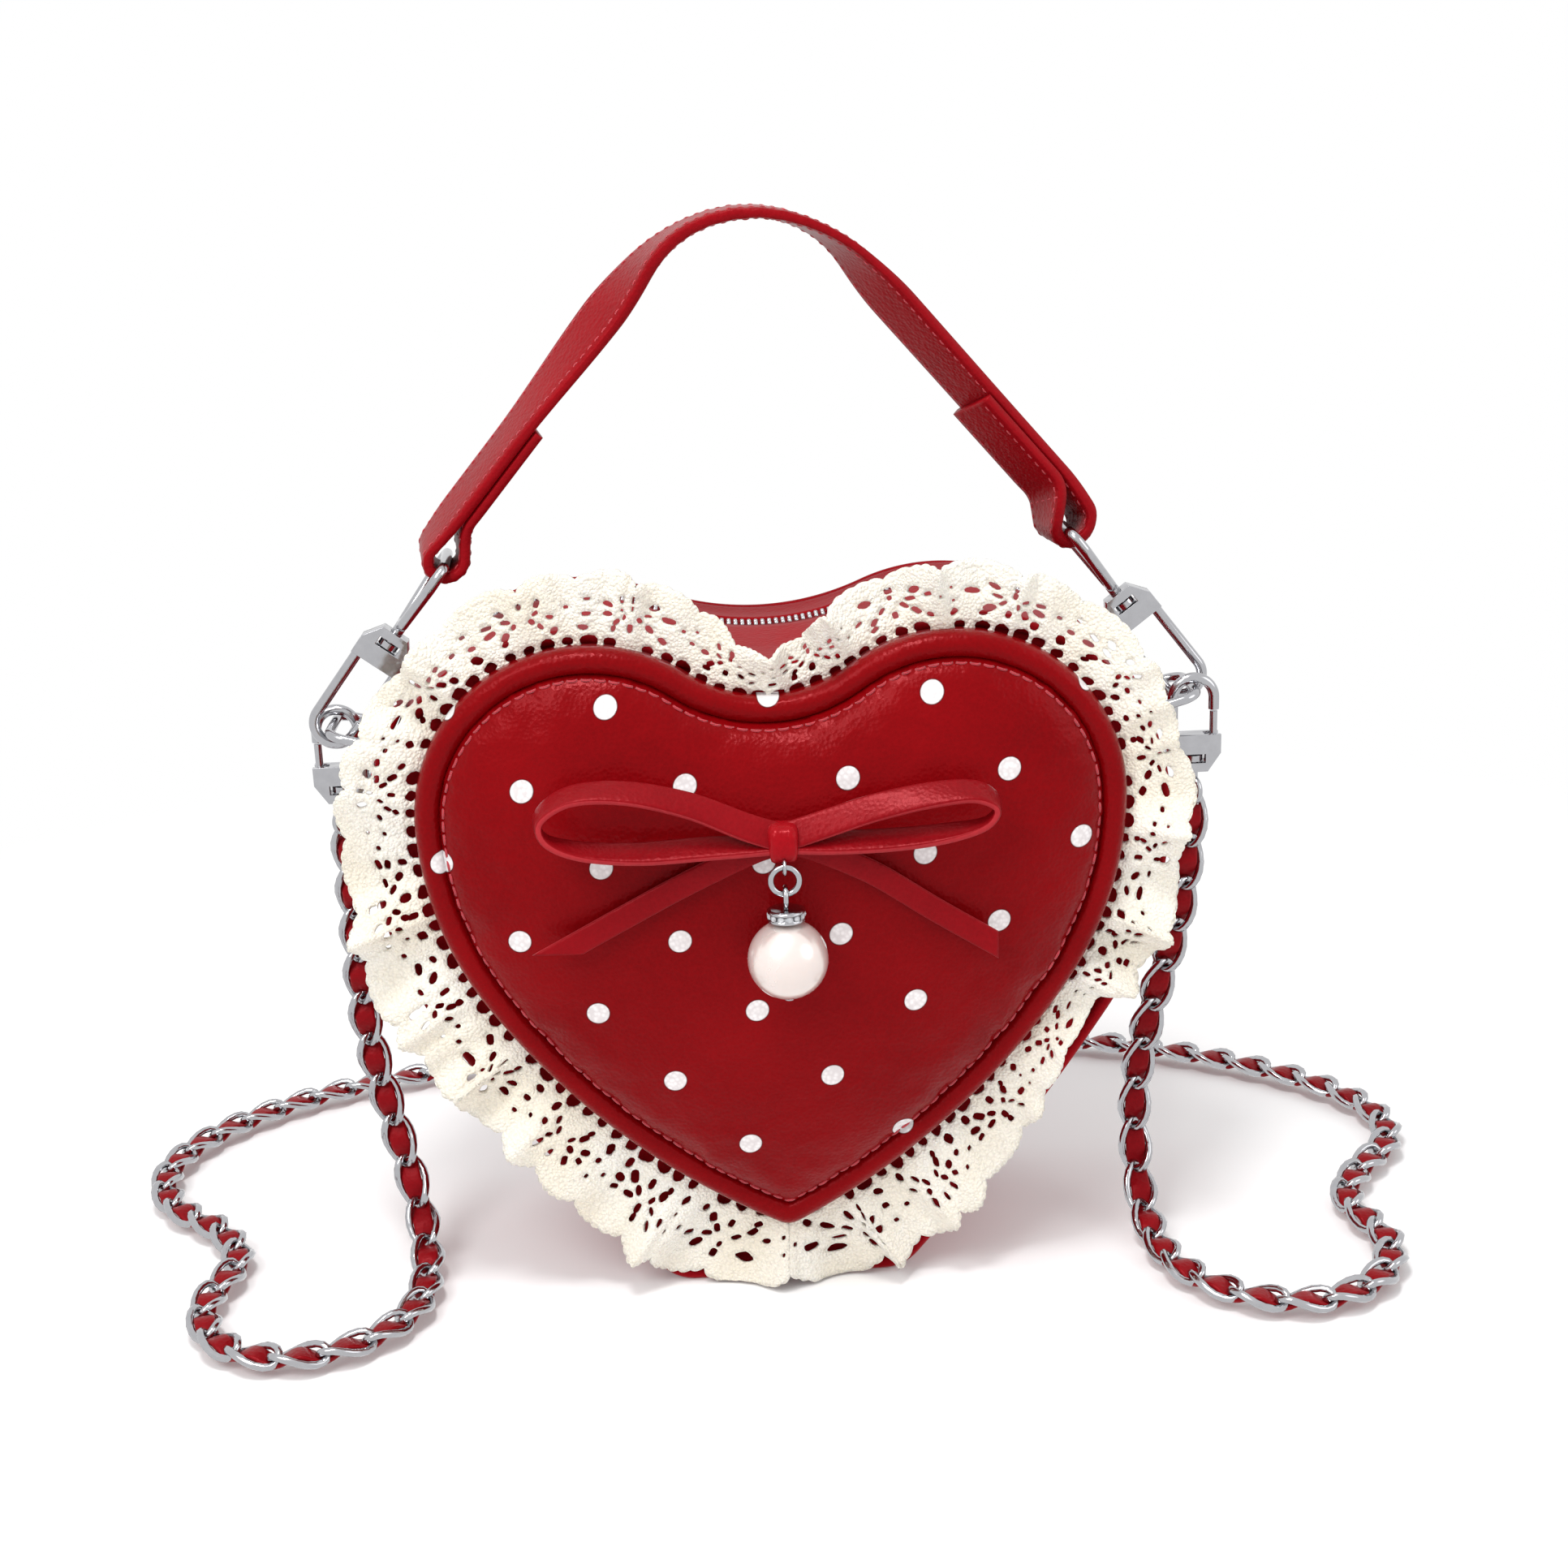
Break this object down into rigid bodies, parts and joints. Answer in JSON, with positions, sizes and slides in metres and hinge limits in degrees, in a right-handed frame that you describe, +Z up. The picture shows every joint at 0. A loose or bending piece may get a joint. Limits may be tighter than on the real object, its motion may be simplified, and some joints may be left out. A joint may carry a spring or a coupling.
{
  "type": "heart shaped purse",
  "caption": "Heart shaped purse with a padded polka dot front, lace ruffle, bow with pearl pendant, top zip, clip-on handle and woven chain shoulder strap.",
  "frame": {"origin": "middle of the flat base, on the surface that the purse stands on", "axes": "+Z up, +X to the wearer's right of the padded front seen from the front, +Y from the padded front to the back"},
  "size_m": [0.3676, 0.1937, 0.2763],
  "materials": {
    "red_leather": "smooth, softly glossy",
    "lace_cotton": "cream cotton lace",
    "lining_cloth": "plain woven",
    "board": "stiff board",
    "bright_metal": "polished nickel",
    "zip_metal": "bright teeth",
    "pearl": "pearlescent",
    "stone": "faceted"
  },
  "bodies": {
    "bag": {"front_panel": "red_leather", "back_panel_lower": "red_leather", "front_bead": "red_leather", "back_bead_lower": "red_leather", "gusset": "red_leather", "zip_facing_front": "red_leather", "zip_teeth_front": "zip_metal", "lining_front": "lining_cloth", "lining_back": "lining_cloth", "base_board": "board", "heart_rim": "red_leather", "heart_pad": "red_leather", "lace_ruffle": "lace_cotton", "bow_knot": "red_leather", "bow_loop_left": "red_leather", "bow_loop_right": "red_leather", "bow_tail_left": "red_leather", "bow_tail_right": "red_leather", "d_ring_left": "bright_metal", "d_ring_right": "bright_metal", "d_ring_tab_left": "red_leather", "d_ring_tab_right": "red_leather", "tab_rivet_left": "bright_metal", "tab_rivet_right": "bright_metal", "chain_eye_left": "bright_metal", "chain_eye_right": "bright_metal", "chain_leather": "red_leather", "chain_links": "bright_metal"},
    "mouth_flap": {"back_panel_top": "red_leather", "back_bead_top": "red_leather", "zip_facing_rear": "red_leather", "zip_teeth_rear": "zip_metal"},
    "slider": {"zip_slider": "zip_metal"},
    "pull": {"zip_pull": "zip_metal"},
    "handle": {"handle_strap": "red_leather", "handle_loop_left": "bright_metal", "handle_loop_right": "bright_metal"},
    "jump_ring": {"jump_ring": "bright_metal"},
    "pendant": {"eye_pin": "bright_metal", "rondelle": "bright_metal", "rondelle_stones": "stone", "pearl": "pearl"},
    "handle_hook_left": {"handle_hook_left": "bright_metal"},
    "handle_hook_right": {"handle_hook_right": "bright_metal"},
    "handle_gate_left": {"handle_gate_left": "bright_metal"},
    "handle_gate_right": {"handle_gate_right": "bright_metal"},
    "chain_hook_left": {"chain_hook_left": "bright_metal"},
    "chain_hook_right": {"chain_hook_right": "bright_metal"},
    "chain_gate_left": {"chain_gate_left": "bright_metal"},
    "chain_gate_right": {"chain_gate_right": "bright_metal"}
  },
  "joints": [
    {"name": "mouth_fold", "type": "hinge", "parent": "bag", "child": "mouth_flap", "pos_m": [0, 0.0366, 0.138], "axis": [-1, 0, 0], "range_deg": [0, 70]},
    {"name": "zip_travel", "type": "hinge", "parent": "bag", "child": "slider", "pos_m": [-0.049, 0.015, 0.126], "axis": [0, 1, 0], "range_deg": [0, 100]},
    {"name": "pull_swing", "type": "hinge", "parent": "slider", "child": "pull", "pos_m": [-0.10506, 0.015, 0.12992], "axis": [0, 1, 0], "range_deg": [0, 150]},
    {"name": "handle_swing", "type": "hinge", "parent": "bag", "child": "handle", "pos_m": [-0.11191, -0.0085, 0.14984], "axis": [0.9992, 0.0402, 0], "range_deg": [-28, 15]},
    {"name": "handle_hook_left_swivel", "type": "hinge", "parent": "handle", "child": "handle_hook_left", "pos_m": [-0.11191, -0.0085, 0.14984], "axis": [0.6086, 0.0065, 0.7935], "range_deg": [-20, 20]},
    {"name": "handle_gate_left_press", "type": "hinge", "parent": "handle_hook_left", "child": "handle_gate_left", "pos_m": [-0.09381, -0.00835, 0.16457], "axis": [-0.004, 1, -0.0052], "range_deg": [0, 25], "stiffness_Nm_per_rad": 0.004},
    {"name": "chain_hook_left_swivel", "type": "hinge", "parent": "bag", "child": "chain_hook_left", "pos_m": [-0.11191, 0.0005, 0.14984], "axis": [0, 0, -1], "range_deg": [-15, 15]},
    {"name": "chain_gate_left_press", "type": "hinge", "parent": "chain_hook_left", "child": "chain_gate_left", "pos_m": [-0.11731, 0.0005, 0.13614], "axis": [0, 1, 0], "range_deg": [0, 25], "stiffness_Nm_per_rad": 0.004},
    {"name": "handle_hook_right_swivel", "type": "hinge", "parent": "handle", "child": "handle_hook_right", "pos_m": [0.11191, 0.0005, 0.14984], "axis": [-0.6086, -0.0065, 0.7935], "range_deg": [-20, 20]},
    {"name": "handle_gate_right_press", "type": "hinge", "parent": "handle_hook_right", "child": "handle_gate_right", "pos_m": [0.09381, 0.00035, 0.16457], "axis": [0.004, -1, -0.0052], "range_deg": [0, 25], "stiffness_Nm_per_rad": 0.004},
    {"name": "chain_hook_right_swivel", "type": "hinge", "parent": "bag", "child": "chain_hook_right", "pos_m": [0.11191, -0.0085, 0.14984], "axis": [0, 0, -1], "range_deg": [-15, 15]},
    {"name": "chain_gate_right_press", "type": "hinge", "parent": "chain_hook_right", "child": "chain_gate_right", "pos_m": [0.11731, -0.0085, 0.13614], "axis": [0, -1, 0], "range_deg": [0, 25], "stiffness_Nm_per_rad": 0.004},
    {"name": "jump_ring_lift", "type": "hinge", "parent": "bag", "child": "jump_ring", "pos_m": [0.0015, -0.0663, 0.1262], "axis": [-1, 0, 0], "range_deg": [0, 60]},
    {"name": "pendant_swing", "type": "hinge", "parent": "jump_ring", "child": "pendant", "pos_m": [0.0015, -0.0663, 0.1194], "axis": [0, 1, 0], "range_deg": [-25, 25]}
  ]
}
